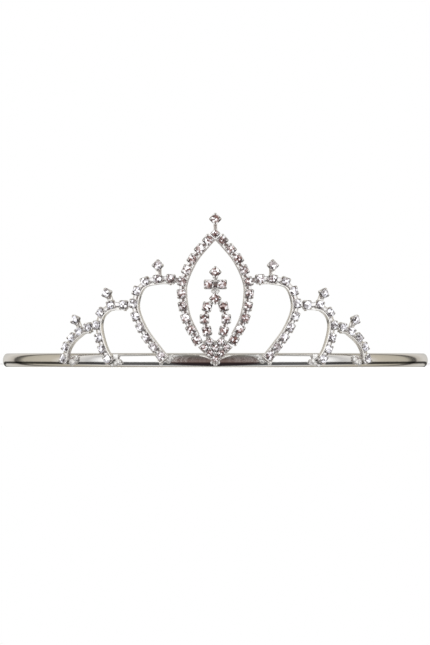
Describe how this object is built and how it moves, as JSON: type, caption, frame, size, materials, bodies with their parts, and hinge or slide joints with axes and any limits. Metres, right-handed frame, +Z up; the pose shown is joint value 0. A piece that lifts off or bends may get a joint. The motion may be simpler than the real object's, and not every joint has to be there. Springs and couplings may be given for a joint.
{
  "type": "bridal tiara",
  "caption": "Half-hoop hair tiara: springy metal headband with an openwork crest of claw-set crystal strands, arches and finials, worn across the top of the head.",
  "frame": {"origin": "middle of the whole tiara seen from above, on the surface that the headband's lower edge rests on", "axes": "+X to the viewer's right as the crest is looked at from the front, +Z up through the crest, the crest faces -Y and the open ends of the headband point to +Y"},
  "size_m": [0.14, 0.1236, 0.0482],
  "materials": {
    "headband_plating": "polished silver-coloured plating",
    "crest_plating": "bright silver-coloured plating, cast cups and soft-soldered ribbon wire",
    "crystal": "clear faceted glass with a silvered back"
  },
  "bodies": {
    "root": {"headband": "headband_plating", "navette_foot": "crest_plating", "heart_cups": "crest_plating", "navette_wire": "crest_plating", "navette_top_cup": "crest_plating", "navette_top_crystal": "crystal", "centre_finial_post": "crest_plating", "centre_finial_cup": "crest_plating", "centre_finial_crystal": "crystal", "pendant_backing_wire": "crest_plating", "pendant_apex_cup": "crest_plating", "pendant_apex_crystal": "crystal", "pendant_crown_cup": "crest_plating", "pendant_crown_crystal": "crystal", "crossbar_cups": "crest_plating", "crossbar_left_crystal": "crystal", "crossbar_right_crystal": "crystal", "left_navette_cups": "crest_plating", "left_pendant_cups": "crest_plating", "left_first_arch_wire": "crest_plating", "left_first_arch_cups": "crest_plating", "left_first_finial_post": "crest_plating", "left_first_finial_cup": "crest_plating", "left_first_finial_crystal": "crystal", "left_second_arch_wire": "crest_plating", "left_second_arch_cups": "crest_plating", "left_second_finial_post": "crest_plating", "left_second_finial_cup": "crest_plating", "left_second_finial_crystal": "crystal", "left_third_arch_wire": "crest_plating", "left_third_arch_cups": "crest_plating", "left_third_finial_post": "crest_plating", "left_third_finial_cup": "crest_plating", "left_third_finial_crystal": "crystal", "right_navette_cups": "crest_plating", "right_pendant_cups": "crest_plating", "right_first_arch_wire": "crest_plating", "right_first_arch_cups": "crest_plating", "right_first_finial_post": "crest_plating", "right_first_finial_cup": "crest_plating", "right_first_finial_crystal": "crystal", "right_second_arch_wire": "crest_plating", "right_second_arch_cups": "crest_plating", "right_second_finial_post": "crest_plating", "right_second_finial_cup": "crest_plating", "right_second_finial_crystal": "crystal", "right_third_arch_wire": "crest_plating", "right_third_arch_cups": "crest_plating", "right_third_finial_post": "crest_plating", "right_third_finial_cup": "crest_plating", "right_third_finial_crystal": "crystal"}
  },
  "joints": []
}
